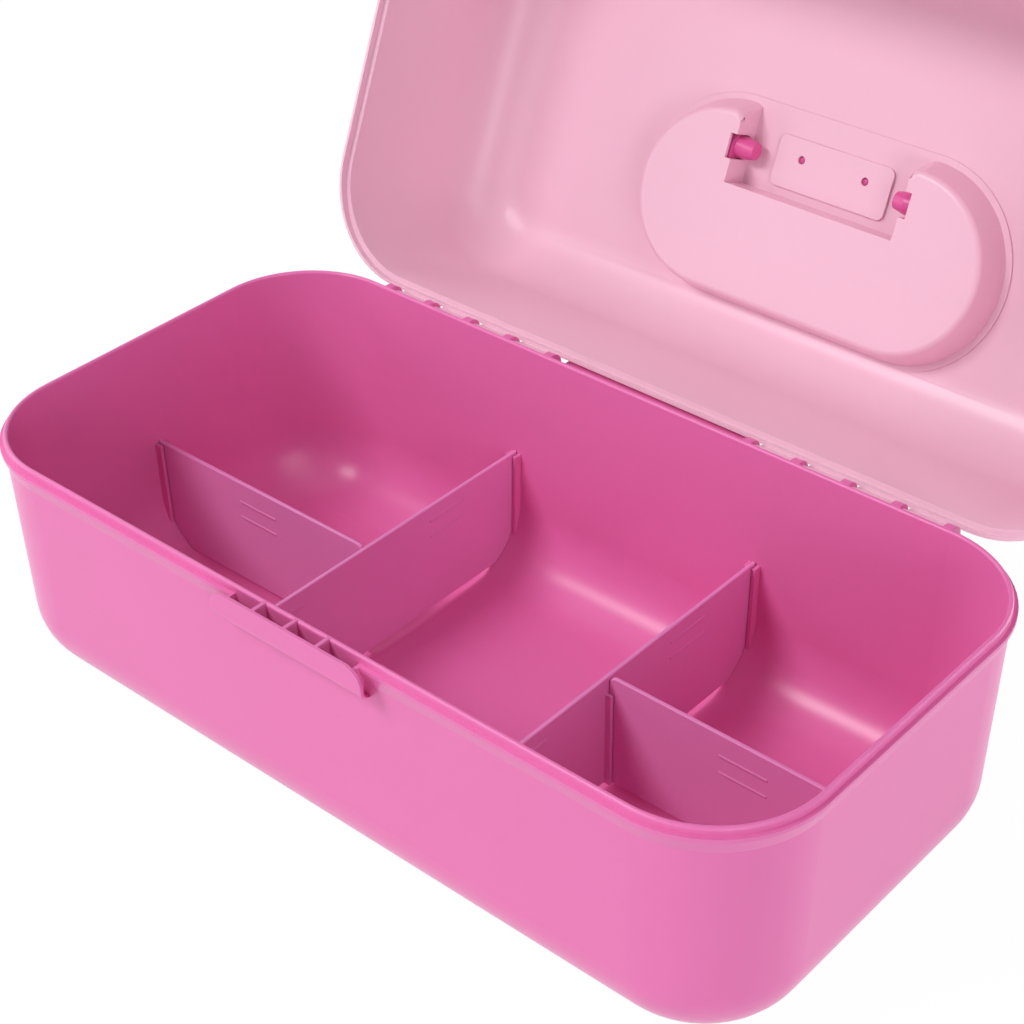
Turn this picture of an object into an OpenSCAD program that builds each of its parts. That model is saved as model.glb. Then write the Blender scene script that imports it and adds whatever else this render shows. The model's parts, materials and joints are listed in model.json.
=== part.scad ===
// Moulded storage case with a deep hinged lid, lift-out dividers and a fold-flat handle.
// Millimetres. +X runs along the case, +Y to the hinge side, +Z up. The origin is the
// centre of the underside of the base. The lid is drawn open, resting on its ledge.

/* [Base] */
// Length between the end walls at the rim
opening_length = 300; // [280:1:330]
// Width between the front and back walls at the rim
opening_width = 150; // [144:1:170]
// Radius of the four upright corners, inside at the rim
corner_radius = 34; // [31:0.5:38]
// Height of the base up to its rim
base_height = 86.5; // [80:0.5:100]
// Thickness of the side walls
base_wall = 1.7; // [1.5:0.1:2]
// Thickness of the floor
floor_thickness = 2; // [1.6:0.1:3]
// Slope of the side walls from upright
base_draft = 1.7; // [1:0.1:2.5]
// Outer radius where the walls turn into the floor
base_fillet = 24; // [20:0.5:26]

/* [Rim] */
// Height of the lip over the flange
lip_height = 2.5; // [2:0.1:3.5]
// How far the flange stands out from the lip
flange_width = 1.3; // [1.2:0.1:1.8]
// Height of the upright outer face of the flange
flange_face = 1.3; // [1:0.1:2]
// Height over which the flange slopes back into the wall
flange_slope = 4.5; // [3:0.5:7]

/* [Catch plate] */
// Length of the catch plate on the front wall
catch_length = 60; // [54:1:70]
// How far the catch plate stands off the lip
catch_reach = 5.4; // [5:0.1:6]
// Height of the catch plate's flat face
catch_height = 7.5; // [6:0.5:10]
// Height over which the plate curves back into the wall
catch_taper = 6.5; // [5:0.5:10]
// Thickness of the catch plate
catch_thickness = 1; // [0.8:0.1:1.4]
// Radius of the plate's corners
catch_corner = 6.3; // [4:0.1:6.5]
// Distance between the ribs behind the plate
catch_rib_pitch = 12.5; // [12:0.5:13]
// Thickness of those ribs
catch_rib = 1.2; // [1:0.1:1.6]

/* [Dividers] */
// Thickness of the divider panels
divider_thickness = 1.5; // [1.2:0.1:2]
// Height of the dividers' top edges over the table
divider_top = 45.4; // [38:0.2:60]
// Height of the dividers' bottom edges over the floor
divider_lift = 2.6; // [1.5:0.1:5]
// Distance of the cross dividers from the middle of the case
cross_position = 50; // [40:0.5:60]
// Play between a divider's edge and the wall
divider_play = 0.3; // [0.3:0.05:0.6]
// Play on each side of a panel in its guides
guide_play = 0.25; // [0.2:0.05:0.4]
// How far the guide ribs stand off the walls
wall_guide_depth = 2.8; // [2:0.1:4]
// Height of the lower ends of those ribs over the table
wall_guide_foot = 13; // [12:0.5:20]
// Drop from a divider's top edge to the top of the wall guides
wall_guide_drop = 1; // [0.5:0.1:3]
// How far the guide ribs stand off the cross dividers
panel_guide_depth = 2; // [1.5:0.1:3]
// Drop from a divider's top edge to the top of the panel guides
panel_guide_drop = 6; // [3:0.5:10]
// Thickness of a guide rib
guide_rib = 1.3; // [1:0.1:1.8]
// Radius of the long dividers' inner top corners
panel_corner = 2; // [1:0.2:3]
// Length of the raised grip lines
grip_length = 18; // [12:1:24]
// Drop from a divider's top edge to the first grip line
grip_drop = 5.6; // [4:0.2:8]
// Distance between the two grip lines
grip_pitch = 6.8; // [5:0.2:9]
// Width of a grip line
grip_width = 1; // [0.8:0.1:1.4]
// How far a grip line stands off the panel
grip_height = 0.35; // [0.2:0.05:0.5]
// Distance of the grip lines on the cross dividers from the middle of the case
cross_grip_place = 38; // [30:1:45]
// Distance of the grip lines on the long dividers from the middle of the case
long_grip_place = 100; // [85:1:115]

/* [Lid] */
// Angle at which the open lid comes to rest, measured from closed
open_angle = 112.8; // [108:0.1:116]
// Inside depth of the lid, from its rim to its top
lid_depth = 72.7; // [66:0.1:85]
// Thickness of the lid's walls
lid_wall = 1.3; // [1.1:0.1:1.5]
// Slope of the lid's walls from upright
lid_draft = 2.5; // [1.5:0.1:3.5]
// Outer radius where the lid's walls turn into its top
lid_fillet = 24; // [20:0.5:26]
// Play between the lid's skirt and the lip
lip_play = 0.3; // [0.25:0.05:0.4]
// Gap under the closed lid's rim, over the lip and under the open lid
rim_gap = 0.3; // [0.3:0.05:0.5]
// Height of the skirt above the ledge inside it
skirt_band = 0.6; // [0.4:0.1:1.2]
// Height over which the skirt slopes in to the lid's wall
skirt_slope = 2; // [1.5:0.1:3]
// Length of the catch tongues below the lid's rim
tongue_length = 4; // [3:0.5:5]
// Width of a catch tongue
tongue_width = 9; // [6:0.5:9.5]
// Length of the thumb ledge over the catch plate
thumb_length = 44; // [36:1:52]
// How far the thumb ledge stands out from the skirt
thumb_reach = 5.5; // [4.5:0.5:6.5]
// Thickness of the thumb ledge
thumb_thickness = 2; // [1.6:0.1:2.6]

/* [Hinge] */
// Distance of the hinge axis behind the flange
hinge_back = 2.6; // [2.5:0.1:3]
// Drop of the hinge axis below the closed lid's rim
hinge_drop = 4.5; // [4.4:0.1:5]
// Radius of the moulded hinge rod
rod_radius = 1.5; // [1.3:0.1:1.6]
// Running play round the rod
rod_play = 0.08; // [0.05:0.01:0.1]
// Outer radius of the lid's knuckles
knuckle_radius = 2.9; // [2.7:0.1:3]
// Number of knuckles on each side
knuckle_count = 4; // [3:1:4]
// Width of a knuckle
knuckle_width = 14; // [12:0.5:14.5]
// Distance from one knuckle to the next
knuckle_pitch = 18.1; // [17.6:0.1:18.6]
// Distance from the middle of the case to the first knuckle
knuckle_start = 42.5; // [42:0.5:44]
// Thickness of a knuckle's arm beside the skirt
arm_thickness = 0.8; // [0.6:0.1:1.4]
// Width of the slot by which a knuckle snaps over the rod
snap_slot = 2.4; // [2:0.1:2.5]
// Thickness of the ears that carry the rod
ear_thickness = 3.2; // [2:0.1:3.3]
// Outer radius of an ear round the rod
ear_radius = 4.1; // [3.6:0.1:4.3]
// Height of an ear's foot on the wall
ear_foot = 13; // [9:0.5:18]
// Length of the ledge on which the open lid rests
stop_length = 76; // [60:1:77]
// Thickness of that ledge
stop_thickness = 1.8; // [1.5:0.1:2.5]
// How far the ledge stands out behind the lip
stop_reach = 12.8; // [12.5:0.1:14]
// Height of the gussets under the ledge
gusset_height = 13; // [9:0.5:18]
// Number of gussets under the ledge
gusset_count = 4; // [3:1:6]

/* [Handle recess] */
// Length of the recess, measured under the lid at its floor
recess_length = 135.4; // [131:0.2:140]
// Width of the recess, measured under the lid at its floor
recess_width = 61.4; // [60:0.2:64]
// Distance of the recess's centre behind the middle of the case
recess_back = 20.3; // [19.7:0.1:20.7]
// Depth of the recess
recess_depth = 12.3; // [12:0.1:13.5]
// How much the recess widens on each side over its depth
recess_flare = 3.8; // [3:0.1:4.2]
// Radius of the recess's corners beside the block
arm_corner = 3.5; // [2:0.1:5]
// Width of the shallow step round the recess
step_width = 2.1; // [1.8:0.1:2.4]
// Depth of that step
step_depth = 0.6; // [0.4:0.1:0.8]
// Width of the block that stands in the recess, measured under the lid
block_width = 67.6; // [64:0.2:69]
// Distance from the handle's axis to the back of the block
block_back = 12.4; // [11.6:0.1:13.4]

/* [Inlay plate] */
// Length of the inlay plate
inlay_length = 44.4; // [38:0.2:48]
// Width of the inlay plate
inlay_width = 16.4; // [14:0.2:17]
// Thickness of the inlay plate
inlay_thickness = 1.4; // [1.2:0.1:1.8]
// Radius of the inlay plate's corners
inlay_corner = 1.8; // [1:0.1:3]
// Distance of the inlay plate's centre behind the middle of the case
inlay_back = 1.8; // [1.4:0.1:2.4]
// Depth of the inlay plate's seat
seat_depth = 1; // [0.8:0.1:1.2]
// Distance between the inlay plate's two pegs
peg_pitch = 25.6; // [20:0.2:30]
// Distance of the pegs in front of the plate's centre
peg_offset = 2; // [0:0.1:3]
// Radius of a peg
peg_radius = 1.3; // [1:0.1:1.6]
// Play round a peg and round the edge of the plate
inlay_play = 0.1; // [0.05:0.01:0.2]

/* [Handle] */
// Distance of the handle's axis behind the middle of the case
pivot_back = 1.5; // [1:0.1:2]
// Drop of the handle's axis below the lid's top
pivot_drop = 7; // [6.8:0.1:7.2]
// Radius of the pivot stubs
stub_radius = 3.9; // [3.4:0.1:4]
// Radius at the tip of a stub
stub_tip = 3; // [2.4:0.1:3.3]
// Length of a stub's cylindrical part
stub_bearing = 3; // [2.5:0.1:4]
// Length of a stub's tapered tip
stub_taper = 4.2; // [3.4:0.1:5.5]
// Play round a stub in its slot
stub_play = 0.45; // [0.35:0.05:0.5]
// Width of the slot in the recess floor beside a stub
slot_width = 2.5; // [2:0.1:3]
// Half the thickness of the handle's bar, and the radius of its ends about the axis
hub_radius = 4.7; // [4.4:0.1:4.8]
// Width of the handle's bar
bar_width = 14; // [12:0.5:15]
// Rounding of the bar's upper edges
bar_round = 3; // [2:0.1:3.5]
// Play between the handle and the recess wall
handle_play = 2.4; // [2.2:0.1:3]
// Play between the handle's ends and the block
hub_play = 0.4; // [0.3:0.05:0.6]
// Wall of the channel under the bar
channel_wall = 2; // [1.5:0.1:2.5]
// Thickness of the ribs across the channel
channel_rib = 1.2; // [1:0.1:1.6]
// Number of ribs across the channel
channel_ribs = 5; // [3:1:8]
// Radius of the hollow shoulder beside each hub
shoulder_radius = 14; // [13.5:0.1:14.5]
// How far the centre of that hollow lies outside the handle
shoulder_out = 2.5; // [2:0.1:3]
// How far the centre of that hollow lies in front of the axis
shoulder_front = 3; // [2.5:0.1:3.5]

/* [Hidden] */
$fn = 96;
eps = 0.01;
hair = 0.004;
run_on = 1.2;
bite = 0.1;
far = 400;

base_pink = "#ee7eb7";
lid_pink = "#f2b5cf";

// Axes of the plan's corners, and how much a wall moves in for each millimetre down
axis_x = opening_length / 2 - corner_radius;
axis_y = opening_width / 2 - corner_radius;
base_lean = tan(base_draft);
lid_lean = tan(lid_draft);
function wall_in(z) = (base_height - z) * base_lean;
function wall_middle(z) = opening_width / 2 + base_wall / 2 - wall_in(z);

// Levels of the rim, of the closed lid's rim and ledge, and of the lid's top
flange_z = base_height - lip_height;
flange_out = base_wall + flange_width;
lip_y = opening_width / 2 + base_wall;
skirt_y = opening_width / 2 + flange_out;
lid_rim = flange_z + rim_gap;
ledge_z = base_height + rim_gap;
skirt_top = ledge_z + skirt_band;
skirt_wall = flange_width - lip_play;
lid_inner_top = lid_rim + lid_depth;
lid_top = lid_inner_top + lid_wall;
sunk_top = lid_top - step_depth;

// Hinge axis, and the lowest edge of the open lid, which rests on the ledge
hinge_y = skirt_y + hinge_back;
hinge_z = lid_rim - hinge_drop;
rest_z = hinge_z + hinge_back * sin(open_angle) + (skirt_top - hinge_z) * cos(open_angle);
knuckle_gap = knuckle_pitch - knuckle_width;
knuckle_row = (knuckle_count - 1) * knuckle_pitch + knuckle_width;

// Floor of the recess from above and below, the handle's axis, the ends of the block
recess_under = lid_inner_top - recess_depth;
recess_floor = recess_under + lid_wall;
pivot_z = lid_top - pivot_drop;
block_end = pivot_back + block_back;
hub_start = block_width / 2 + lid_wall + hub_play;

// Plan of the handle, which follows the recess wall
handle_radius = recess_width / 2 - lid_wall - handle_play;
handle_arc = (recess_length - recess_width) / 2;
bar_arc = handle_radius - bar_width / 2;

// Gap in the flange between the outer ribs of the catch
flange_gap = 4 * catch_rib_pitch;

// Repeats a wall section round the rounded plan. The section is drawn with x measured
// from the axis of a plan corner.
module round_plan() {
    for (sx = [-1, 1], sy = [-1, 1])
        translate([sx * axis_x, sy * axis_y, 0])
            rotate([0, 0, sx > 0 ? (sy > 0 ? 0 : -90) : (sy > 0 ? 90 : 180)])
                rotate_extrude(angle = 90) children();
    for (turn = [0, 180])
        rotate([0, 0, turn]) {
            translate([0, axis_y, 0]) along_x(2 * axis_x) children();
            translate([axis_x, 0, 0])
                rotate([0, 0, -90]) along_x(2 * axis_y) children();
        }
}

// Runs an outline along X, centred. The outline's x becomes Y and its y becomes Z.
module along_x(length) {
    translate([-length / 2, 0, 0]) rotate([90, 0, 90]) linear_extrude(length) children();
}

// Where the axis of a fillet lies, for a wall whose face reaches top_x at the height
function turn_x(top_x, height, slope, fillet) =
    top_x - (height - fillet) * tan(slope) - fillet / cos(slope);

// Wall that turns through a fillet into a flat end at level 0. It is solid from the
// corner axis out to the wall's face. The fillet's circle runs past both lines by a
// hair, so that it crosses them and doesn't just touch them.
module filled_section(top_x, height, slope, fillet) {
    axis = turn_x(top_x, height, slope, fillet);
    difference() {
        union() {
            polygon([[0, 0], [axis, 0],
                     [axis + fillet * cos(slope), fillet * (1 - sin(slope))],
                     [top_x, height], [0, height]]);
            translate([axis + hair, fillet - hair]) circle(fillet);
        }
        translate([-far, -far]) square([far, 2 * far]);
        translate([-far, -far]) square([2 * far, far]);
    }
}

// Flat shape with round ends, of the given full length and width
module stadium(length, width, height) {
    straight = length - width;
    for (sx = [-1, 1]) translate([sx * straight / 2, 0, 0]) cylinder(h = height, r = width / 2);
    translate([-straight / 2, -width / 2, 0]) cube([straight, width, height]);
}

// The same with a wall that leans out by flare over its height
module flared_stadium(length, width, height, flare) {
    straight = length - width;
    for (sx = [-1, 1])
        translate([sx * straight / 2, 0, 0])
            cylinder(h = height, r1 = width / 2, r2 = width / 2 + flare);
    along_x(straight)
        polygon([[-width / 2, 0], [width / 2, 0],
                 [width / 2 + flare, height], [-width / 2 - flare, height]]);
}

// Flat block with rounded corners, centred
module rounded_block(length, width, height, radius) {
    for (sx = [-1, 1], sy = [-1, 1])
        translate([sx * (length / 2 - radius), sy * (width / 2 - radius), 0])
            cylinder(h = height, r = radius);
    translate([-length / 2, radius - width / 2, 0]) cube([length, width - 2 * radius, height]);
    translate([radius - length / 2, -width / 2, 0]) cube([length - 2 * radius, width, height]);
}

// Wall of the base, with a round lip at its top that both faces of the wall run into
module base_section() {
    lip_radius = base_wall / 2 * cos(base_draft);
    lip_z = base_height - lip_radius;
    lip_x = corner_radius + base_wall / 2 - wall_in(lip_z);
    side = [lip_radius * cos(base_draft), -lip_radius * sin(base_draft)];
    outer_top = [lip_x, lip_z] + side;
    inner_top = [lip_x, lip_z] - side;
    difference() {
        union() {
            filled_section(outer_top[0], outer_top[1], base_draft, base_fillet);
            polygon([[0, outer_top[1] - 1], outer_top - [1, 1], outer_top,
                     inner_top, [0, inner_top[1]]]);
            translate([lip_x, lip_z]) circle(lip_radius);
        }
        translate([0, floor_thickness])
            filled_section(inner_top[0], inner_top[1] - floor_thickness, base_draft,
                           base_fillet - base_wall);
    }
}

// Flange below the lip, on which the lid's rim comes down. Its sloping underside runs
// on into the wall.
module flange_section() {
    edge = [corner_radius + flange_out, flange_z - flange_face];
    foot_z = edge[1] - flange_slope;
    foot = [corner_radius + base_wall - wall_in(foot_z), foot_z];
    inner_x = corner_radius + base_wall / 2 - wall_in(foot_z);
    polygon([[inner_x, flange_z], [edge[0], flange_z], edge, edge + run_on * (foot - edge),
             [inner_x, foot_z]]);
}

// Outline of the catch plate, upright and seen along the case: flat above, then a
// smooth curve back into the wall. A larger inset gives the pocket behind it.
module catch_section(inset) {
    face_z = base_height - catch_height;
    face_y = lip_y + catch_reach - inset;
    foot_y = lip_y - wall_in(face_z - catch_taper) - inset / 2;
    steps = 10;
    polygon(concat([[wall_middle(base_height), base_height], [face_y, base_height]],
        [for (k = [0:steps])
            [foot_y + (face_y - foot_y) * (1 + cos(180 * k / steps)) / 2,
             face_z - catch_taper * k / steps]],
        [[wall_middle(face_z - catch_taper), face_z - catch_taper]]));
}

module catch_plate() {
    depth = catch_height + catch_taper;
    mirror([0, 1, 0]) {
        intersection() {
            difference() {
                along_x(catch_length) catch_section(0);
                along_x(catch_length + 1) translate([0, eps]) catch_section(catch_thickness);
            }
            translate([0, far, base_height - depth / 2])
                rotate([90, 0, 0]) rounded_block(catch_length, depth, far, catch_corner);
        }
        // five ribs: the outer two stop below the lid's rim, where the flange goes on
        for (k = [-2:2])
            translate([k * catch_rib_pitch, 0, 0])
                along_x(catch_rib)
                    difference() {
                        catch_section(catch_thickness / 2);
                        if (abs(k) == 2) translate([0, flange_z]) square([far, far]);
                    }
    }
}

// Ears on the back wall, and the moulded rods between them
module hinge_ears() {
    for (sx = [-1, 1]) {
        for (k = [0:knuckle_count])
            translate([sx * (knuckle_start - knuckle_gap / 2 + k * knuckle_pitch), 0, 0])
                along_x(ear_thickness) {
                    translate([hinge_y, hinge_z]) circle(ear_radius);
                    polygon([[wall_middle(hinge_z + ear_radius), hinge_z + ear_radius],
                             [hinge_y, hinge_z + ear_radius], [hinge_y + ear_radius, hinge_z],
                             [wall_middle(hinge_z + ear_radius - ear_foot),
                              hinge_z + ear_radius - ear_foot]]);
                }
        translate([sx * (knuckle_start + knuckle_row / 2), hinge_y, hinge_z])
            rotate([0, 90, 0])
                cylinder(h = knuckle_row + knuckle_gap, r = rod_radius, center = true);
    }
}

// Ledge between the hinges, just under the open lid, on its gussets
module stop_ledge() {
    top_z = rest_z - rim_gap;
    under_z = top_z - stop_thickness;
    end_y = lip_y + stop_reach;
    along_x(stop_length)
        polygon([[wall_middle(under_z), under_z], [end_y, under_z],
                 [end_y, top_z], [wall_middle(top_z), top_z]]);
    for (k = [0:gusset_count - 1])
        translate([(k / (gusset_count - 1) - 0.5) * (stop_length - stop_thickness), 0, 0])
            along_x(stop_thickness)
                polygon([[wall_middle(top_z), under_z + stop_thickness / 2],
                         [end_y - stop_thickness, under_z + stop_thickness / 2],
                         [end_y - stop_thickness, under_z],
                         [wall_middle(under_z - gusset_height), under_z - gusset_height]]);
}

// Pair of upright ribs that guide one divider's edge. They stand on a wall at the
// given distance along X and die out in its fillet: their outline ends in the middle
// of the wall.
module wall_guides(reach) {
    guide_top = divider_top - wall_guide_drop;
    band = reach - wall_guide_depth;
    for (side = [-1, 1])
        translate([0, side * (divider_thickness / 2 + guide_play + guide_rib / 2), 0])
            rotate([90, 0, 0])
                translate([0, 0, -guide_rib / 2])
                    linear_extrude(guide_rib)
                        intersection() {
                            translate([0, floor_thickness / 2])
                                filled_section(reach + base_wall / 2,
                                               base_height - floor_thickness / 2, base_draft,
                                               base_fillet - base_wall / 2);
                            polygon([[band - wall_in(guide_top), guide_top],
                                     [far, guide_top], [far, wall_guide_foot],
                                     [band - wall_in(wall_guide_foot), wall_guide_foot]]);
                        }
}

module base_box() {
    color(base_pink) {
        round_plan() base_section();
        translate([-axis_x, -axis_y, 0]) cube([2 * axis_x, 2 * axis_y, floor_thickness]);
        difference() {
            round_plan() flange_section();
            translate([-flange_gap / 2, -far, 0]) cube([flange_gap, far, far]);
        }
        catch_plate();
        for (turn = [0, 180]) {
            rotate([0, 0, turn]) wall_guides(opening_length / 2);
            for (sx = [-1, 1])
                rotate([0, 0, turn]) translate([sx * cross_position, 0, 0])
                    rotate([0, 0, 90]) wall_guides(opening_width / 2);
        }
        hinge_ears();
        stop_ledge();
    }
}

// Outline of a divider from the middle of the case to a wall at the given distance.
// It follows the wall and its fillet.
module divider_outline(reach) {
    difference() {
        translate([0, floor_thickness + divider_play])
            filled_section(reach - divider_play, base_height - floor_thickness - divider_play,
                           base_draft, base_fillet - base_wall - divider_play);
        translate([-eps, 0]) square([far, floor_thickness + divider_lift]);
        translate([-eps, divider_top]) square([far, far]);
    }
}

// Panel with the given outline, upright along X and centred on Y
module panel() {
    rotate([90, 0, 0])
        translate([0, 0, -divider_thickness / 2]) linear_extrude(divider_thickness) children();
}

// Two raised lines on each face of a panel, at the given distance along X
module grip_lines(place) {
    for (k = [0, 1])
        translate([place, divider_thickness / 2 + grip_height,
                   divider_top - grip_drop - k * grip_pitch])
            rotate([90, 0, 0])
                stadium(grip_length, grip_width, divider_thickness + 2 * grip_height);
}

// Cross divider, drawn at the middle of the case. The guides for a long divider stand
// on its face towards -X.
module cross_divider() {
    guide_foot = floor_thickness + divider_lift;
    guide_reach = divider_thickness / 2 + panel_guide_depth;
    guide_place = divider_thickness / 2 + guide_play;
    rotate([0, 0, 90]) {
        for (turn = [0, 180]) rotate([0, 0, turn]) {
            panel() divider_outline(opening_width / 2);
            grip_lines(cross_grip_place);
        }
        for (place = [guide_place, -guide_place - guide_rib])
            translate([place, 0, guide_foot])
                cube([guide_rib, guide_reach, divider_top - panel_guide_drop - guide_foot]);
    }
}

// Long divider, from a cross divider's guides to the end wall at +X
module long_divider() {
    start = cross_position + divider_thickness / 2 + divider_play;
    panel() difference() {
        divider_outline(opening_length / 2);
        translate([-far + start, 0]) square([far, far]);
        difference() {
            translate([start, divider_top - panel_corner]) square(panel_corner + eps);
            translate([start + panel_corner, divider_top - panel_corner]) circle(panel_corner);
        }
    }
    grip_lines(long_grip_place);
}

module cross_divider_left() {
    color(base_pink) translate([-cross_position, 0, 0]) cross_divider();
}

module cross_divider_right() {
    color(base_pink) translate([cross_position, 0, 0]) rotate([0, 0, 180]) cross_divider();
}

module long_divider_left() {
    color(base_pink) rotate([0, 0, 180]) long_divider();
}

module long_divider_right() {
    color(base_pink) long_divider();
}

// Turns what is drawn on the closed lid to where the open lid has it
module on_open_lid() {
    translate([0, hinge_y, hinge_z])
        rotate([-open_angle, 0, 0])
            translate([0, -hinge_y, -hinge_z]) children();
}

// Wall of the lid with its skirt and the ledge inside it, drawn upside down: its level
// is measured down from the lid's top
module lid_section() {
    ledge = lid_top - ledge_z;
    rim = lid_top - lid_rim;
    skirt_x = corner_radius + flange_out;
    edge = [skirt_x, lid_top - skirt_top];
    foot = [corner_radius + lid_wall - (skirt_band + skirt_slope) * lid_lean,
            edge[1] - skirt_slope];
    difference() {
        union() {
            filled_section(corner_radius + lid_wall, ledge, lid_draft, lid_fillet);
            polygon([[0, rim], [skirt_x, rim], edge, edge + run_on * (foot - edge),
                     [0, foot[1]]]);
        }
        translate([0, lid_wall])
            filled_section(corner_radius, ledge - lid_wall, lid_draft, lid_fillet - lid_wall);
        translate([0, ledge]) square([corner_radius + base_wall + lip_play, rim - ledge + 1]);
    }
}

// The sunk recess as a solid: a flared stadium less the block that stands in it. The
// skin is the distance in from the recess's underside.
module recess_form(skin, height) {
    half = block_width / 2 + skin;
    front_y = recess_back - recess_width / 2 + skin;
    corner = arm_corner - skin;
    flare = recess_flare * height / recess_depth;
    difference() {
        translate([0, recess_back, 0])
            flared_stadium(recess_length - 2 * skin, recess_width - 2 * skin, height, flare);
        translate([-half, block_end + skin - far, -1]) cube([2 * half, far, far]);
        for (sx = [-1, 1])
            difference() {
                translate([sx > 0 ? half - 1 : -half - corner, front_y + corner - far, -1])
                    cube([corner + 1, far, far]);
                translate([sx * (half + corner), front_y + corner, 0])
                    cylinder(h = height, r1 = corner, r2 = corner + flare);
            }
    }
}

// Outline of the step round the recess, in from its edge by the skin
module step_form(skin, height) {
    margin = recess_flare + step_width - skin;
    translate([0, recess_back, 0])
        stadium(recess_length + 2 * margin, recess_width + 2 * margin, height);
}

// Outline of the inlay plate, grown by a margin
module inlay_form(margin, height) {
    translate([0, inlay_back, 0])
        rounded_block(inlay_length + 2 * margin, inlay_width + 2 * margin, height,
                      inlay_corner + margin);
}

module at_pegs() {
    for (sx = [-1, 1]) translate([sx * peg_pitch / 2, inlay_back - peg_offset, 0]) children();
}

// Slots for the handle's stubs: open at the recess floor, round about the axis
module pivot_slots() {
    slot_radius = stub_radius + stub_play;
    for (sx = [-1, 1])
        translate([sx * (block_width + slot_width) / 2, pivot_back, 0]) {
            translate([-slot_width / 2 - 1, -slot_radius, recess_under - 1])
                cube([slot_width + 1, 2 * slot_radius, pivot_z - recess_under + 1]);
            translate([-slot_width / 2 - 1, 0, pivot_z])
                rotate([0, 90, 0]) cylinder(h = slot_width + 1, r = slot_radius);
        }
}

// One knuckle as seen along the case: a hub round the rod and an arm up to the skirt
module knuckle_section() {
    difference() {
        union() {
            translate([hinge_y, hinge_z]) circle(knuckle_radius);
            polygon([[skirt_y + rim_gap, hinge_z + knuckle_radius / 2],
                     [skirt_y + rim_gap, lid_rim], [skirt_y - skirt_wall / 2, lid_rim],
                     [skirt_y - skirt_wall / 2, skirt_top], [skirt_y + arm_thickness, skirt_top],
                     [hinge_y + knuckle_radius, hinge_z + knuckle_radius],
                     [hinge_y + knuckle_radius, hinge_z], [hinge_y, hinge_z]]);
        }
        translate([hinge_y, hinge_z]) circle(rod_radius + rod_play);
        translate([hinge_y - snap_slot / 2, hinge_z - 2 * knuckle_radius])
            square([snap_slot, 2 * knuckle_radius]);
    }
}

module lid_knuckles() {
    for (sx = [-1, 1], k = [0:knuckle_count - 1])
        translate([sx * (knuckle_start + knuckle_width / 2 + k * knuckle_pitch), 0, 0])
            along_x(knuckle_width) knuckle_section();
}

// Front of the lid: a thumb ledge over the catch plate, and tongues for its pockets
module lid_catch() {
    bow = (thumb_length * thumb_length / 4 + thumb_reach * thumb_reach) / (2 * thumb_reach);
    mirror([0, 1, 0]) {
        translate([0, 0, ledge_z])
            intersection() {
                translate([0, skirt_y + thumb_reach - bow, 0])
                    cylinder(h = thumb_thickness, r = bow, $fn = 240);
                translate([-far / 2, lip_y, 0]) cube([far, far, far]);
            }
        for (k = [-1.5:1.5])
            translate([k * catch_rib_pitch - tongue_width / 2, skirt_y - skirt_wall,
                       lid_rim - tongue_length])
                cube([tongue_width, skirt_wall, tongue_length + skirt_wall]);
    }
}

module lid() {
    color(lid_pink) on_open_lid()
        difference() {
            union() {
                translate([0, 0, lid_top]) rotate([180, 0, 0]) round_plan() lid_section();
                translate([-axis_x, -axis_y, lid_inner_top])
                    cube([2 * axis_x, 2 * axis_y, lid_wall]);
                translate([0, 0, recess_under]) recess_form(0, recess_depth + bite);
                translate([0, 0, lid_inner_top - step_depth])
                    step_form(0, step_depth + bite);
                translate([0, 0, sunk_top - seat_depth - lid_wall])
                    inlay_form(inlay_play + lid_wall / 2, seat_depth + lid_wall);
                lid_knuckles();
                lid_catch();
            }
            translate([0, 0, recess_floor]) recess_form(lid_wall, recess_depth + 1);
            translate([0, 0, sunk_top]) step_form(lid_wall, far);
            translate([0, 0, sunk_top - seat_depth]) inlay_form(inlay_play, far);
            translate([0, 0, sunk_top - far]) at_pegs()
                cylinder(h = far, r = peg_radius + inlay_play);
            pivot_slots();
            // slots in the skirt for the ribs behind the catch plate
            for (k = [-1:1])
                translate([k * catch_rib_pitch - catch_rib / 2 - lip_play, -skirt_y - 1,
                           lid_rim - 1])
                    cube([catch_rib + 2 * lip_play, skirt_wall + 1 + eps, ledge_z - lid_rim + 1]);
        }
}

module inlay_plate() {
    color(base_pink) on_open_lid()
        translate([0, 0, sunk_top - seat_depth]) {
            inlay_form(0, inlay_thickness);
            translate([0, 0, -lid_wall]) at_pegs()
                cylinder(h = lid_wall + inlay_thickness / 2, r = peg_radius);
        }
}

// Section of the handle's bar: flat below, with its upper edges rounded
module bar_section() {
    half = bar_width / 2;
    translate([-half, -hub_radius]) square([bar_width, 2 * hub_radius - bar_round]);
    translate([bar_round - half, 0]) square([bar_width - 2 * bar_round, hub_radius]);
    for (side = [-1, 1])
        translate([side * (half - bar_round), hub_radius - bar_round]) circle(bar_round);
}

// The bar's whole sweep: a grip at the back and an arc at each end
module handle_sweep() {
    translate([0, recess_back, 0]) {
        for (sx = [-1, 1])
            translate([sx * handle_arc, 0, 0])
                rotate([0, 0, -90 * sx])
                    rotate_extrude(angle = 180) translate([bar_arc, 0]) bar_section();
        along_x(2 * handle_arc) translate([bar_arc, 0]) bar_section();
        for (sx = [-1, 1])
            translate([sx * (hub_start + handle_arc) / 2, 0, 0])
                along_x(handle_arc - hub_start) translate([-bar_arc, 0]) bar_section();
    }
}

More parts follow.
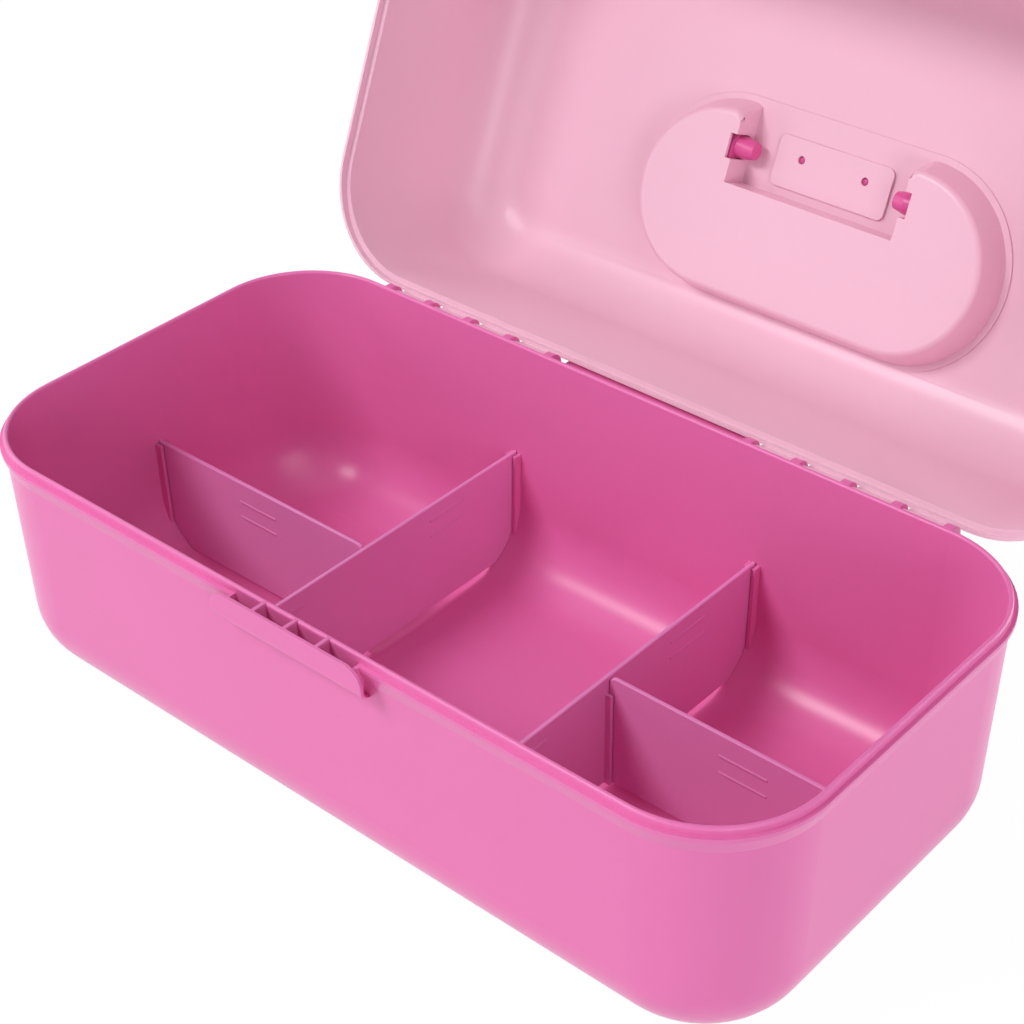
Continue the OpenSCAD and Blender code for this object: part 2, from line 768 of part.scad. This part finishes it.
// Channel moulded into the underside of the grip, crossed by ribs
module grip_channel() {
    channel_length = 2 * handle_arc;
    difference() {
        translate([-channel_length / 2,
                   recess_back + handle_radius - bar_width + channel_wall, -hub_radius - 1])
            cube([channel_length, bar_width - 2 * channel_wall,
                  2 * hub_radius - channel_wall + 1]);
        for (k = [1:channel_ribs])
            translate([(k / (channel_ribs + 1) - 0.5) * channel_length - channel_rib / 2, 0, -far])
                cube([channel_rib, far, 2 * far]);
    }
}

module carry_handle() {
    color(base_pink) on_open_lid() translate([0, 0, pivot_z]) {
        difference() {
            handle_sweep();
            // in front of the axis only the round hubs are left
            difference() {
                translate([-far, pivot_back - far, -far]) cube([2 * far, far, 2 * far]);
                translate([0, pivot_back, 0])
                    rotate([0, 90, 0]) cylinder(h = far, r = hub_radius, center = true);
            }
            // hollow shoulders, which clear the recess while the handle is up
            for (sx = [-1, 1])
                translate([sx * (recess_length / 2 - lid_wall - handle_play + shoulder_out),
                           pivot_back - shoulder_front, -far / 2])
                    cylinder(h = far, r = shoulder_radius);
            grip_channel();
        }
        for (sx = [-1, 1])
            translate([sx * (hub_start + eps), pivot_back, 0])
                rotate([0, -90 * sx, 0]) {
                    cylinder(h = stub_bearing, r = stub_radius);
                    translate([0, 0, stub_bearing])
                        cylinder(h = stub_taper, r1 = stub_radius, r2 = stub_tip);
                }
    }
}

base_box();
lid();
carry_handle();
inlay_plate();
cross_divider_left();
cross_divider_right();
long_divider_left();
long_divider_right();
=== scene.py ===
import json
import math

import bmesh
import bpy
from mathutils import Matrix, Vector


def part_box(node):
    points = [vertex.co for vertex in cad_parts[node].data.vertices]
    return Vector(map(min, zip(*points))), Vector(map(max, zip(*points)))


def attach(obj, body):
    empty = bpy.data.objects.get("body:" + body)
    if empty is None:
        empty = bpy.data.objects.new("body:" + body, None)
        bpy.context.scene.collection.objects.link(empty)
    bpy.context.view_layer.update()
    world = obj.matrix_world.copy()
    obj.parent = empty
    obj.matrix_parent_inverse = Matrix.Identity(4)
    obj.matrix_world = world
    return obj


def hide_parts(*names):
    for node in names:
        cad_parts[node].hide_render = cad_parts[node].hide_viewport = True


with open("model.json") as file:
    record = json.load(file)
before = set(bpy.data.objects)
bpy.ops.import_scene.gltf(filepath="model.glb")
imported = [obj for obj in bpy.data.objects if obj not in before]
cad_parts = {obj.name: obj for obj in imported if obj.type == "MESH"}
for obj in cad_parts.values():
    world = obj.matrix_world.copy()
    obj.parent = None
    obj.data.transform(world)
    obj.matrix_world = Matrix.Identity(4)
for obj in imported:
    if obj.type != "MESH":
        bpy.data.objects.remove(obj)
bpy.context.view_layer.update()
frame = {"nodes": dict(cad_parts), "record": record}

print("stage 1: the packed case is loaded")


def linear(colour):
    # a colour picked on screen, 0 to 255, as the shaders want it: the usual screen curve, undone
    parts = [c / 255 for c in colour]
    return tuple(c / 12.92 if c < 0.04045 else ((c + 0.055) / 1.055) ** 2.4 for c in parts)


def makeObject(name, data):
    made = bpy.data.objects.new(name, data)
    bpy.context.scene.collection.objects.link(made)
    return made


# camera: stands where the photograph was taken from

cameraSettings = {
    "place": (0.3611, -0.3954, 0.4574),
    "yaw": 41.37,       # degrees, turned left from looking along +Y
    "pitch": 35.07,     # degrees, looking down
    "roll": -0.86,
    "lens": 76.89,
    "sensor": 36.0,
    "nearest": 0.01,    # nothing nearer or farther than these two is drawn
    "farthest": 20,
}


def makeCamera(settings):
    data = bpy.data.cameras.new("camera")
    data.lens = settings["lens"]
    data.sensor_width = settings["sensor"]
    data.clip_start = settings["nearest"]
    data.clip_end = settings["farthest"]
    camera = makeObject("camera", data)
    camera.matrix_world = (
        Matrix.Translation(settings["place"])
        @ Matrix.Rotation(math.radians(settings["yaw"]), 4, "Z")
        @ Matrix.Rotation(math.radians(90 - settings["pitch"]), 4, "X")
        @ Matrix.Rotation(math.radians(settings["roll"]), 4, "Z")
    )
    bpy.context.scene.camera = camera


makeCamera(cameraSettings)
print("stage 2: the camera is in place")


# floor, backdrop and light

studioSettings = {
    "floorSize": 8.0,
    "floorDrop": 0.0002,        # keeps the floor clear of the underside
    "floorColour": (235, 235, 235),
    "floorWhite": 0.93,         # how much of the floor the camera sees as plain white
    "whiteStrength": 1.04,
    "ambient": 0.04,            # how strongly the white surroundings light the case
    "lampAim": (0, 0.04, 0.09),
}

lampSettings = {
    # name: (azimuth from +X, elevation, distance, width, height, power)
    "key": (-120, 45, 1.5, 0.6, 0.35, 11.6),
    "frontLow": (-90, 8, 1.5, 0.7, 0.7, 2.2),
    "leftLow": (-150, 8, 1.5, 0.7, 0.7, 3.2),
    "rightSide": (-15, 30, 1.5, 0.7, 0.7, 3.6),
    "rightHigh": (-15, 55, 1.5, 0.7, 0.7, 1.8),
    "rightBack": (60, 8, 1.5, 0.9, 0.9, 13.5),
    "leftBack": (180, 40, 1.5, 0.7, 0.7, 3.9),
    "overhead": (-60, 80, 1.5, 0.7, 0.7, 0.5),
    "leftSide": (-170, 20, 1.5, 0.7, 0.7, 1.6),
    "rightEdge": (-36, 6, 1.5, 0.5, 0.5, 4.6),
}


def clearRays(nodes, links, rays):
    # 1 for rays from the camera, and for those that gloss or glass sends on
    total = rays.outputs["Is Camera Ray"]
    for kind in ("Is Glossy Ray", "Is Transmission Ray"):
        both = nodes.new("ShaderNodeMath")
        both.operation = "MAXIMUM"
        links.new(total, both.inputs[0])
        links.new(rays.outputs[kind], both.inputs[1])
        total = both.outputs[0]
    return total


def makeWhite(name, colour, share, strength):
    # looks plain white to the camera, yet takes light and shadow as a pale surface does
    material = bpy.data.materials.new(name)
    material.use_nodes = True
    nodes, links = material.node_tree.nodes, material.node_tree.links
    nodes.clear()
    output = nodes.new("ShaderNodeOutputMaterial")
    diffuse = nodes.new("ShaderNodeBsdfDiffuse")
    diffuse.inputs["Color"].default_value = (*linear(colour), 1)
    white = nodes.new("ShaderNodeEmission")
    white.inputs["Strength"].default_value = strength
    rays = nodes.new("ShaderNodeLightPath")
    amount = nodes.new("ShaderNodeMath")
    amount.operation = "MULTIPLY"
    amount.inputs[1].default_value = share
    mix = nodes.new("ShaderNodeMixShader")
    links.new(clearRays(nodes, links, rays), amount.inputs[0])
    links.new(amount.outputs[0], mix.inputs[0])
    links.new(diffuse.outputs[0], mix.inputs[1])
    links.new(white.outputs[0], mix.inputs[2])
    links.new(mix.outputs[0], output.inputs["Surface"])
    return material


def makeFloor(settings):
    half, level = settings["floorSize"] / 2, -settings["floorDrop"]
    corners = [(x, y, level) for x, y in ((-half, -half), (half, -half), (half, half), (-half, half))]
    mesh = bpy.data.meshes.new("floor")
    mesh.from_pydata(corners, [], [(0, 1, 2, 3)])
    mesh.materials.append(makeWhite("floorWhite", settings["floorColour"],
                                    settings["floorWhite"], settings["whiteStrength"]))
    makeObject("floor", mesh)


def makeWorld(settings):
    # plain white where it is seen, and a faint light on the case
    world = bpy.data.worlds.new("studio")
    bpy.context.scene.world = world
    world.use_nodes = True
    nodes, links = world.node_tree.nodes, world.node_tree.links
    nodes.clear()
    output = nodes.new("ShaderNodeOutputWorld")
    background = nodes.new("ShaderNodeBackground")
    background.inputs["Color"].default_value = (1, 1, 1, 1)
    rays = nodes.new("ShaderNodeLightPath")
    strength = nodes.new("ShaderNodeMapRange")
    strength.inputs["To Min"].default_value = settings["ambient"]
    strength.inputs["To Max"].default_value = 1.0
    links.new(clearRays(nodes, links, rays), strength.inputs["Value"])
    links.new(strength.outputs["Result"], background.inputs["Strength"])
    links.new(background.outputs[0], output.inputs["Surface"])


def makeLamps(settings, lamps):
    aim = Vector(settings["lampAim"])
    for name, (azimuth, elevation, distance, width, height, power) in lamps.items():
        data = bpy.data.lights.new(name, "AREA")
        data.shape = "RECTANGLE"
        data.size, data.size_y, data.energy = width, height, power
        around, up = math.radians(azimuth), math.radians(elevation)
        way = Vector((math.cos(around) * math.cos(up), math.sin(around) * math.cos(up),
                      math.sin(up)))
        turn = way.to_track_quat("Z", "Y").to_matrix().to_4x4()
        makeObject(name, data).matrix_world = Matrix.Translation(aim + way * distance) @ turn


makeFloor(studioSettings)
makeWorld(studioSettings)
makeLamps(studioSettings, lampSettings)
bpy.context.scene.view_settings.view_transform = "Standard"
print("stage 3: floor and lamps are in place")


# materials: four moulded plastics that share one kind of skin; those of the dividers and the handle
# are the base's pink painted lighter and darker, as painted light and painted shade

plasticSettings = {
    "basePlastic": {"colour": (234, 118, 182), "roughness": 0.29, "gloss": 0.38, "grain": 0.25},
    # the same plastic as the base, painted lighter: painted light on the dividers
    "dividerPlasticPaintedLight": {"colour": (236, 142, 202), "roughness": 0.33, "gloss": 0.38, "grain": 0.3},
    # the same plastic as the base, painted darker: painted shade on the handle's stubs and the
    # inlay's pegs, which sit in shade
    "handlePlasticPaintedShade": {"colour": (222, 92, 158), "roughness": 0.3, "gloss": 0.36, "grain": 0.25},
    "lidPlastic": {"colour": (240, 195, 214), "roughness": 0.33, "gloss": 0.42, "grain": 0.25},
}

skinSettings = {
    "ior": 1.49,
    "toneSpread": 0.015,        # share by which the colour wanders to each side
    "roughnessSpread": 0.012,
    "toneWaves": (14, 2),       # scale and detail of each of the three noises
    "roughnessWaves": (90, 3),
    "grainWaves": (2200, 2),
    "grainDepth": 0.00002,
    "edgeSoftness": 0.0003,     # the radius to which the shading rounds every edge
    "edgeSamples": 6,
}


def makePlastic(name, settings, skin):
    # moulded plastic: a satin skin with fine grain, slow waves and slight unevenness in tone
    material = bpy.data.materials.new(name)
    material.use_nodes = True
    nodes, links = material.node_tree.nodes, material.node_tree.links
    shader = nodes["Principled BSDF"]
    shader.inputs["IOR"].default_value = skin["ior"]
    shader.inputs["Specular IOR Level"].default_value = settings["gloss"]
    place = nodes.new("ShaderNodeTexCoord")

    def noise(waves):
        node = nodes.new("ShaderNodeTexNoise")
        node.inputs["Scale"].default_value, node.inputs["Detail"].default_value = waves
        links.new(place.outputs["Object"], node.inputs["Vector"])
        return node.outputs["Fac"]

    tone = nodes.new("ShaderNodeMix")
    tone.data_type = "RGBA"
    darker = [c * (1 - skin["toneSpread"]) for c in settings["colour"]]
    lighter = [min(255, c * (1 + skin["toneSpread"])) for c in settings["colour"]]
    tone.inputs["A"].default_value = (*linear(darker), 1)
    tone.inputs["B"].default_value = (*linear(lighter), 1)
    links.new(noise(skin["toneWaves"]), tone.inputs["Factor"])
    links.new(tone.outputs["Result"], shader.inputs["Base Color"])

    rough = nodes.new("ShaderNodeMapRange")
    rough.inputs["To Min"].default_value = settings["roughness"] - skin["roughnessSpread"]
    rough.inputs["To Max"].default_value = settings["roughness"] + skin["roughnessSpread"]
    links.new(noise(skin["roughnessWaves"]), rough.inputs["Value"])
    links.new(rough.outputs["Result"], shader.inputs["Roughness"])

    edges = nodes.new("ShaderNodeBevel")
    edges.samples = skin["edgeSamples"]
    edges.inputs["Radius"].default_value = skin["edgeSoftness"]
    grain = nodes.new("ShaderNodeBump")
    links.new(edges.outputs["Normal"], grain.inputs["Normal"])
    grain.inputs["Strength"].default_value = settings["grain"]
    grain.inputs["Distance"].default_value = skin["grainDepth"]
    links.new(noise(skin["grainWaves"]), grain.inputs["Height"])
    links.new(grain.outputs["Normal"], shader.inputs["Normal"])
    return material


plastics = {name: makePlastic(name, given, skinSettings) for name, given in plasticSettings.items()}
print("stage 4: the plastics are mixed")


# tools for the meshes below

meshSettings = {
    "sharpAngle": 32,           # degrees; an edge that turns less is shaded smooth
    "mergeDistance": 0.000001,
    "roundProfile": 0.5,        # a plain arc
}

bodyOf = {}
for bodyName, members in frame["record"]["behaviour"]["bodies"].items():
    for member in members:
        bodyOf[member] = bodyName


def roundEdges(made, edges, radius, steps):
    bmesh.ops.bevel(made, geom=edges, offset=radius, affect="EDGES", segments=steps,
                    profile=meshSettings["roundProfile"], clamp_overlap=False)


def writeMesh(made, mesh):
    made.to_mesh(mesh)
    made.free()
    mesh.shade_smooth()
    return mesh


def settle(piece):
    # applies what is live on a piece and gives its flat faces even shading
    even = piece.modifiers.new("evenShading", "WEIGHTED_NORMAL")
    even.keep_sharp = True
    piece.data.set_sharp_from_angle(angle=math.radians(meshSettings["sharpAngle"]))
    depsgraph = bpy.context.evaluated_depsgraph_get()
    solid = bpy.data.meshes.new_from_object(piece.evaluated_get(depsgraph))
    piece.modifiers.clear()
    piece.data = solid


def standFor(piece, nodeName, finish):
    piece.data.materials.clear()
    piece.data.materials.append(plastics[finish])
    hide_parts(nodeName)
    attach(piece, bodyOf[nodeName])


# dividers: a panel with rounded edges, raised grip lines and, on the cross ones, guides

dividerSettings = {
    "thickness": 0.0015,
    "edgeRound": 0.0004,
    "roundSteps": 3,
    "wallLean": 1.7,            # degrees from upright
    "footRadius": 0.022,        # where a panel follows the fillet of the base
    "footLevel": 0.0023,        # the level at which that fillet would be flat
    "footSteps": 24,
    "topCorner": 0.002,
    "cornerSteps": 8,
    "crossPlace": 0.05,         # of the cross dividers, from the middle of the case
    "crossGrips": 0.038,        # places of the grip lines along the dividers
    "longGrips": 0.1,
    "crossGripDrop": 0.0056,    # from the top of the panel to the upper line
    "longGripDrop": 0.0078,
    "guideDrop": 0.006,         # from the top of the panel to that of its guides
}

gripSettings = {
    "Length": 0.017,
    "Radius": 0.0007,
    "Sides": 12,
    "Sunk": 0.00045,
    "Pitch": 0.0062,
    "Count": 2,
}

guideSettings = {
    "Width": 0.0013,
    "Depth": 0.002,
    "Play": 0.00025,
}


def arc(centre, radius, start, end, steps):
    turns = [math.radians(start + (end - start) * k / steps) for k in range(steps + 1)]
    return [(centre[0] + radius * math.cos(t), centre[1] + radius * math.sin(t)) for t in turns]


def wallOutline(reach, top, bottom, settings):
    # the edge of a panel from its top down the wall and round the fillet to its foot
    lean, radius = math.radians(settings["wallLean"]), settings["footRadius"]
    level = settings["footLevel"]
    centre = (reach - (top - level - radius) * math.tan(lean) - radius / math.cos(lean),
              level + radius)
    last = -math.degrees(math.asin((centre[1] - bottom) / radius))
    return [(reach, top)] + arc(centre, radius, -settings["wallLean"], last, settings["footSteps"])


def panelMesh(name, outline, settings):
    # the outline stands in the plane of X and Z, and both faces get the same rounded edge
    made = bmesh.new()
    half = settings["thickness"] / 2
    front = [made.verts.new((x, -half, z)) for x, z in outline]
    back = [made.verts.new((x, half, z)) for x, z in outline]
    faces = [made.faces.new(front), made.faces.new(list(reversed(back)))]
    count = len(outline)
    for k in range(count):
        n = (k + 1) % count
        made.faces.new((front[n], front[k], back[k], back[n]))
    rims = dict.fromkeys(edge for face in faces for edge in face.edges)
    roundEdges(made, list(rims), settings["edgeRound"], settings["roundSteps"])
    bmesh.ops.recalc_face_normals(made, faces=made.faces)
    return writeMesh(made, bpy.data.meshes.new(name))


def newTree(name, sizes):
    # a tree with a geometry socket at each end and a named size for each input
    tree = bpy.data.node_groups.new(name, "GeometryNodeTree")
    face = tree.interface
    face.new_socket("Geometry", in_out="INPUT", socket_type="NodeSocketGeometry")
    face.new_socket("Geometry", in_out="OUTPUT", socket_type="NodeSocketGeometry")
    for size, value in sizes.items():
        kind = "NodeSocketInt" if isinstance(value, int) else "NodeSocketFloat"
        face.new_socket(size, in_out="INPUT", socket_type=kind).default_value = value
    face.new_socket("Finish", in_out="INPUT", socket_type="NodeSocketMaterial")
    return tree


def useTree(piece, tree, sizes, finish):
    modifier = piece.modifiers.new(tree.name, "NODES")
    modifier.node_group = tree
    for item in tree.interface.items_tree:
        if item.in_out == "INPUT" and item.name in sizes:
            modifier[item.identifier] = sizes[item.name]
        if item.in_out == "INPUT" and item.name == "Finish":
            modifier[item.identifier] = finish


class Wires:
    # short ways to add and join nodes of one tree
    def __init__(self, tree):
        self.tree = tree
        self.start = tree.nodes.new("NodeGroupInput")
        self.end = tree.nodes.new("NodeGroupOutput")

    def node(self, kind, links=None, **settings):
        made = self.tree.nodes.new(kind)
        for key, value in settings.items():
            setattr(made, key, value)
        for socket, source in (links or {}).items():
            self.put(made.inputs[socket], source)
        return made

    def put(self, socket, source):
        if isinstance(source, bpy.types.NodeSocket):
            self.tree.links.new(source, socket)
        elif isinstance(source, str):
            self.tree.links.new(self.start.outputs[source], socket)
        else:
            socket.default_value = source

    def sum(self, kind, first, second):
        made = self.node("ShaderNodeMath", operation=kind)
        self.put(made.inputs[0], first)
        self.put(made.inputs[1], second)
        return made.outputs[0]

    def vector(self, x, y, z):
        return self.node("ShaderNodeCombineXYZ", {"X": x, "Y": y, "Z": z}).outputs[0]

    def close(self, joined):
        # adds the panel to what is joined, and ends the tree as plain geometry with its finish
        self.put(joined.inputs[0], "Geometry")
        plain = self.node("GeometryNodeRealizeInstances", {"Geometry": joined.outputs[0]})
        dressed = self.node("GeometryNodeSetMaterial", {
            "Geometry": plain.outputs[0], "Material": "Finish"})
        self.put(self.end.inputs[0], dressed.outputs[0])


def gripTree():
    # a row of raised lines on both faces of a panel, one below the other
    perPanel = {"Place": 0.0, "Top": 0.0, "Face": 0.0}     # set anew each time the tree is used
    tree = newTree("gripLines", {**gripSettings, **perPanel})
    w = Wires(tree)
    half = w.sum("MULTIPLY", "Length", 0.5)
    rod = w.node("GeometryNodeCurvePrimitiveLine", {
        "Start": w.vector(w.sum("MULTIPLY", half, -1), 0, 0), "End": w.vector(half, 0, 0)})
    ring = w.node("GeometryNodeCurvePrimitiveCircle", {"Resolution": "Sides", "Radius": "Radius"})
    line = w.node("GeometryNodeCurveToMesh", {
        "Curve": rod.outputs[0], "Profile Curve": ring.outputs["Curve"], "Fill Caps": True})
    inFace = w.sum("SUBTRACT", "Face", "Sunk")
    joined = w.node("GeometryNodeJoinGeometry")
    for side in (1, -1):
        row = w.node("GeometryNodeMeshLine", {
            "Count": "Count",
            "Start Location": w.vector("Place", w.sum("MULTIPLY", inFace, side), "Top"),
            "Offset": w.vector(0, 0, w.sum("MULTIPLY", "Pitch", -1))}, mode="OFFSET")
        lines = w.node("GeometryNodeInstanceOnPoints", {
            "Points": row.outputs[0], "Instance": line.outputs[0]})
        w.put(joined.inputs[0], lines.outputs[0])
    w.close(joined)
    return tree


def guideTree():
    # a pair of upright ribs on one face, with room between them for another panel
    perPanel = {"Height": 0.0, "Foot": 0.0, "Panel": 0.0, "Side": 1.0}
    tree = newTree("guideRibs", {**guideSettings, **perPanel})
    w = Wires(tree)
    halfPanel = w.sum("MULTIPLY", "Panel", 0.5)
    reach = w.sum("ADD", halfPanel, "Depth")
    rib = w.node("GeometryNodeMeshCube", {"Size": w.vector("Width", reach, "Height")})
    apart = w.sum("ADD", w.sum("ADD", halfPanel, "Play"), w.sum("MULTIPLY", "Width", 0.5))
    middle = w.sum("ADD", "Foot", w.sum("MULTIPLY", "Height", 0.5))
    out = w.sum("MULTIPLY", w.sum("MULTIPLY", reach, 0.5), "Side")
    joined = w.node("GeometryNodeJoinGeometry")
    for side in (1, -1):
        moved = w.node("GeometryNodeTransform", {
            "Geometry": rib.outputs["Mesh"],
            "Translation": w.vector(w.sum("MULTIPLY", apart, side), out, middle)})
        w.put(joined.inputs[0], moved.outputs[0])
    w.close(joined)
    return tree


grips, guides = gripTree(), guideTree()


def makeDivider(name, nodeName, outline, gripPlaces, gripTop, turn, place, guideSide=None):
    thickness = dividerSettings["thickness"]
    piece = makeObject(name, panelMesh(name, outline, dividerSettings))
    # the dividers' finish is the base plastic painted lighter: painted light
    finish = plastics["dividerPlasticPaintedLight"]
    for gripPlace in gripPlaces:
        useTree(piece, grips, {**gripSettings, "Place": gripPlace, "Top": gripTop,
                               "Face": thickness / 2}, finish)
    if guideSide is not None:
        low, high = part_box(nodeName)
        height = high[2] - dividerSettings["guideDrop"] - low[2]
        useTree(piece, guides, {**guideSettings, "Panel": thickness, "Foot": low[2],
                                "Height": height, "Side": guideSide}, finish)
    settle(piece)
    piece.data.transform(Matrix.Translation(place) @ Matrix.Rotation(math.radians(turn), 4, "Z"))
    standFor(piece, nodeName, "dividerPlasticPaintedLight")


def makeDividers(settings):
    corner, steps, grip = settings["topCorner"], settings["cornerSteps"], settings["crossGrips"]
    for side, sign in (("left", -1), ("right", 1)):
        low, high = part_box("cross_divider_" + side)
        wall = wallOutline(high[1], high[2], low[2], settings)
        outline = [(-x, z) for x, z in wall] + list(reversed(wall))
        makeDivider("crossDivider" + side.title(), "cross_divider_" + side, outline,
                    (-grip, grip), high[2] - settings["crossGripDrop"], 90,
                    (settings["crossPlace"] * sign, 0, 0), -sign)
        low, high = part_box("long_divider_" + side)
        inner, outer = (low[0], high[0]) if sign > 0 else (-high[0], -low[0])
        top, foot = high[2], low[2]
        wall = wallOutline(outer, top, foot, settings)
        outline = list(reversed(wall)) + arc((inner + corner, top - corner), corner, 90, 180, steps)
        outline += [(inner, foot)]
        makeDivider("longDivider" + side.title(), "long_divider_" + side, outline,
                    (settings["longGrips"],), top - settings["longGripDrop"],
                    0 if sign > 0 else 180, (0, 0, 0))


makeDividers(dividerSettings)
print("stage 5: the dividers are made")


# the two pieces of the lid are copied from the frame and reshaped as they are when it is shut

lidHinge = next(j for j in frame["record"]["behaviour"]["joints"] if j["name"] == "lid_hinge")


def shutPlace():
    # takes the open lid's points to where they are when it is shut
    place = Matrix.Translation(lidHinge["pos_m"])
    turn = Matrix.Rotation(math.radians(lidHinge["range_deg"][1]), 4, "X")
    return place @ turn @ place.inverted()


def reshapeShut(pieceName, nodeName, reshape, settings):
    mesh = frame["nodes"][nodeName].data.copy()
    shut = shutPlace()
    made = bmesh.new()
    made.from_mesh(mesh)
    made.transform(shut)
    bmesh.ops.remove_doubles(made, verts=made.verts, dist=meshSettings["mergeDistance"])
    reshape(made, settings)
    made.transform(shut.inverted())
    piece = makeObject(pieceName, writeMesh(made, mesh))
    settle(piece)
    return piece


# lid: the moulded shell with the soft edges of its sunk recess

lidSettings = {
    "flatAngle": 0.4,           # degrees; faces that turn less are joined into one
    "tolerance": 0.00003,       # how near a point lies to the place that it is known by
    "recessUnder": 0.1447,      # level of the recess's underside
    "recessRound": 0.0018,
    "roundSteps": 5,
    "underNormal": -0.99,       # the underside's normals have a Z below this
    "wallNormals": (-0.6, -0.1),            # and those of the leaning wall one between these
    "slotEnd": -0.0363,         # where the left pivot slot is to end
    "slotSurplus": 0.001,       # how much further out it ends before that
    "slotSides": (-0.0034, 0.0064),         # it lies between these two places along Y
    "slotTolerance": 0.0001,
    "knuckleEnds": (0.0425, 0.0606, 0.0787, 0.0968),        # the ends nearest to the middle
    "knuckleWidth": 0.014,
    "knuckleGrow": 0.0003,      # closes most of the running gap beside the base's ears
    "knuckleReach": 0.006,      # how far the knuckles reach in front of the hinge
}


def evenSlots(made, settings):
    # gives both pivot slots the same width
    front, back = settings["slotSides"]
    for vert in made.verts:
        away = vert.co.x - (settings["slotEnd"] - settings["slotSurplus"])
        if abs(away) < settings["slotTolerance"] and front < vert.co.y < back:
            vert.co.x = settings["slotEnd"]


def growKnuckles(made, settings):
    grow, width = settings["knuckleGrow"], settings["knuckleWidth"]
    for vert in made.verts:
        if vert.co.y < lidHinge["pos_m"][1] - settings["knuckleReach"]:
            continue
        side, x = math.copysign(1, vert.co.x), abs(vert.co.x)
        for start in settings["knuckleEnds"]:
            if abs(x - start) < settings["tolerance"]:
                vert.co.x = side * (start - grow)
            if abs(x - start - width) < settings["tolerance"]:
                vert.co.x = side * (start + width + grow)


def roundRecess(made, settings):
    steep, gentle = settings["wallNormals"]

    def onRim(edge):
        # an edge between the recess's flat underside and its leaning wall
        slopes = [face.normal.z for face in edge.link_faces]
        onLevel = all(abs(v.co.z - settings["recessUnder"]) < settings["tolerance"]
                      for v in edge.verts)
        return onLevel and min(slopes) < settings["underNormal"] and steep < max(slopes) < gentle

    rim = [edge for edge in made.edges if onRim(edge)]
    roundEdges(made, rim, settings["recessRound"], settings["roundSteps"])


def reshapeLid(made, settings):
    bmesh.ops.dissolve_limit(made, angle_limit=math.radians(settings["flatAngle"]),
                             verts=made.verts, edges=made.edges)
    made.normal_update()
    evenSlots(made, settings)
    growKnuckles(made, settings)
    roundRecess(made, settings)


def makeLid(settings):
    piece = reshapeShut("lidShell", "lid", reshapeLid, settings)
    standFor(piece, "lid", "lidPlastic")


makeLid(lidSettings)
print("stage 6: the lid is made")


# inlay plate: its pegs end a little inside their holes

inlaySettings = {
    "pegTip": 0.1554,           # level of the tips
    "pegInset": 0.0007,         # how far they are drawn back into their holes
    "tolerance": 0.00005,
}


def reshapeInlay(made, settings):
    for vert in made.verts:
        if abs(vert.co.z - settings["pegTip"]) < settings["tolerance"]:
            vert.co.z += settings["pegInset"]


def makeInlay(settings):
    piece = reshapeShut("inlayPlate", "inlay_plate", reshapeInlay, settings)
    # painted shade: the pegs take the darker copy of the base plastic
    standFor(piece, "inlay_plate", "handlePlasticPaintedShade")


makeInlay(inlaySettings)
print("stage 7: the inlay plate is made")


# pieces whose mesh is already right

# the handle takes the darker copy of the base plastic: painted shade
carriedOver = {"base_box": "basePlastic", "carry_handle": "handlePlasticPaintedShade"}
for nodeName, finish in carriedOver.items():
    mesh = frame["nodes"][nodeName].data
    mesh.materials.clear()
    mesh.materials.append(plastics[finish])
print("stage 8: the base and the handle have their plastic")
